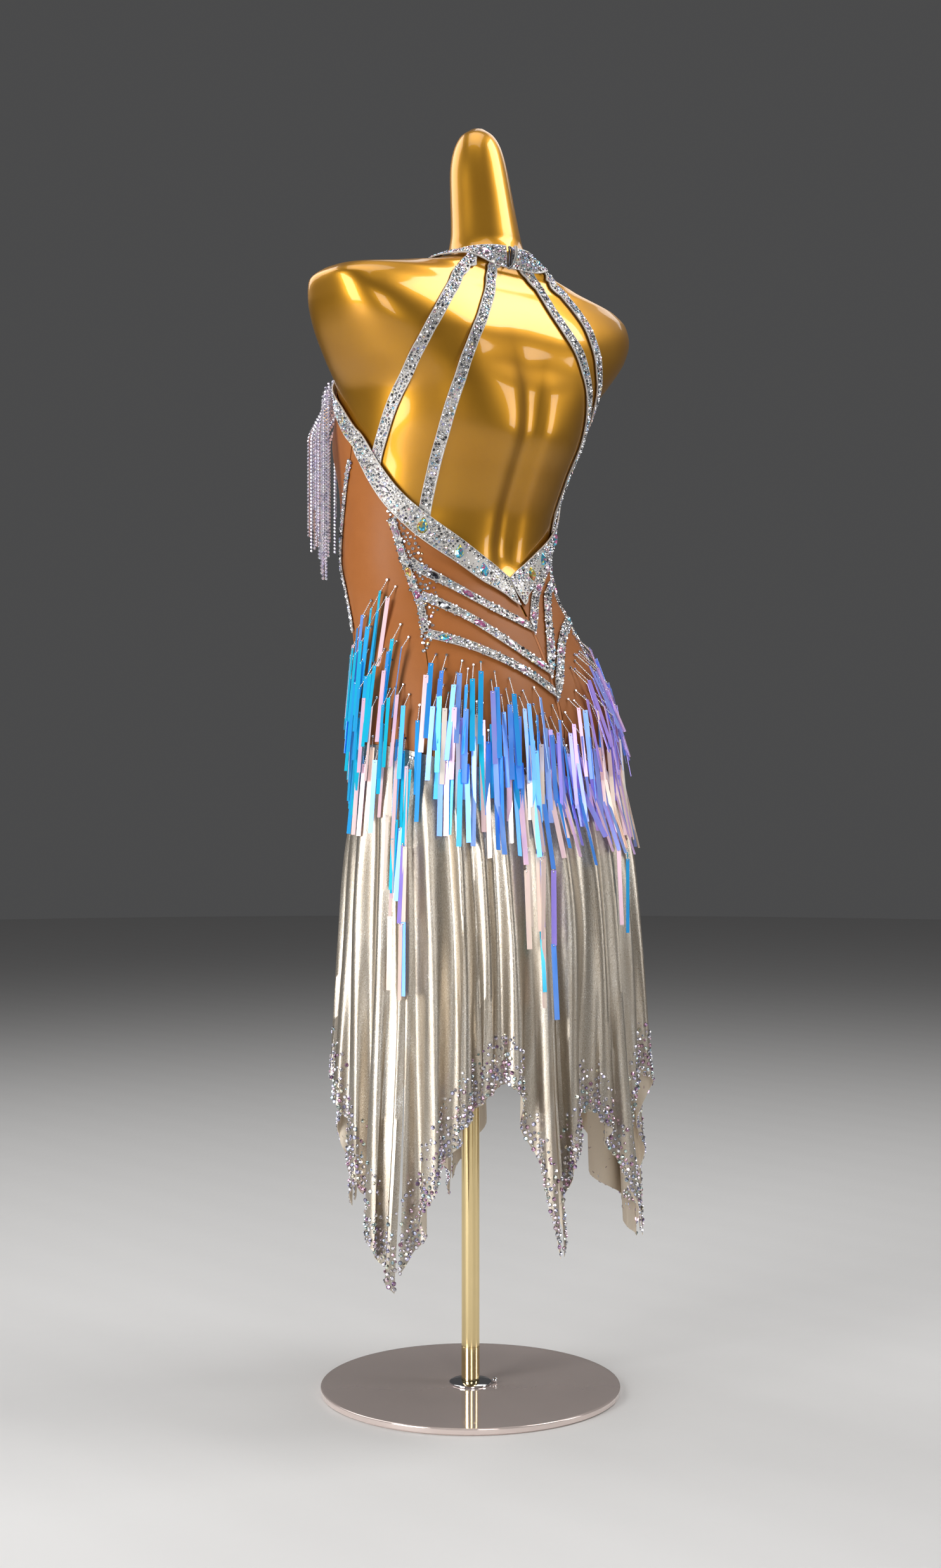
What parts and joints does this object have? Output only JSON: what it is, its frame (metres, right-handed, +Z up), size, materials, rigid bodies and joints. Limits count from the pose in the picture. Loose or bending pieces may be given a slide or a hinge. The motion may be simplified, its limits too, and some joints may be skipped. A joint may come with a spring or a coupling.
{
  "type": "salsa dance dress on a limbless dress form with a round stand",
  "caption": "Open-backed salsa dance dress with tan mesh bodice, crystal bands, iridescent strip fringe and silver lame skirt, on a gold dress form with pole and round base.",
  "frame": {"origin": "centre of the base's underside, on the pole's axis", "axes": "+Z up along the pole; the dress and form face -Y; the wearer's left is +X"},
  "size_m": [0.462, 0.3954, 1.494],
  "materials": {
    "gold_lacquer": "metallic gold lacquer under a clear gloss coat",
    "polished_brass": "polished, gold coloured",
    "mirror_plate": "grey mirror finish",
    "chrome": "polished",
    "tan_mesh": "fine tan stretch mesh, satin",
    "crystal_trim": "silver-white band set with clear and iridescent stones",
    "silver_lame": "silver-taupe lame with sharp streaks, pale beige reverse",
    "iridescent_strip": "iridescent blue to pink film strips on silver threads",
    "crystal_chain": "lilac and silver bead chains"
  },
  "bodies": {
    "root": {"form_torso": "gold_lacquer", "pole": "polished_brass", "base_plate": "mirror_plate", "base_flange": "chrome", "flange_screw": "chrome", "form_socket": "chrome", "neckband_clasp": "chrome", "bodice_front": "tan_mesh", "bodice_side_left": "tan_mesh", "bodice_side_right": "tan_mesh", "bodice_back_left": "tan_mesh", "bodice_back_right": "tan_mesh", "centre_back_zip": "tan_mesh", "open_back_band_left": "crystal_trim", "open_back_band_right": "crystal_trim", "strap_inner_left": "crystal_trim", "strap_inner_right": "crystal_trim", "strap_outer_left": "crystal_trim", "strap_outer_right": "crystal_trim", "chevron_1_left": "crystal_trim", "chevron_2_left": "crystal_trim", "chevron_3_left": "crystal_trim", "chevron_1_right": "crystal_trim", "chevron_2_right": "crystal_trim", "chevron_3_right": "crystal_trim", "side_back_trim_left": "crystal_trim", "side_back_trim_right": "crystal_trim", "side_front_trim_left": "crystal_trim", "side_front_trim_right": "crystal_trim", "neckband": "crystal_trim", "skirt_back": "silver_lame", "skirt_back_left": "silver_lame", "skirt_side_left": "silver_lame", "skirt_front": "silver_lame", "skirt_side_right": "silver_lame", "skirt_back_right": "silver_lame", "hip_fringe_back_1": "iridescent_strip", "hip_fringe_back_2": "iridescent_strip", "hip_fringe_back_3": "iridescent_strip", "hip_fringe_back_4": "iridescent_strip", "hip_fringe_front_1": "iridescent_strip", "hip_fringe_front_2": "iridescent_strip", "hip_fringe_front_3": "iridescent_strip", "hip_fringe_front_4": "iridescent_strip", "bust_fringe": "crystal_chain"}
  },
  "joints": []
}
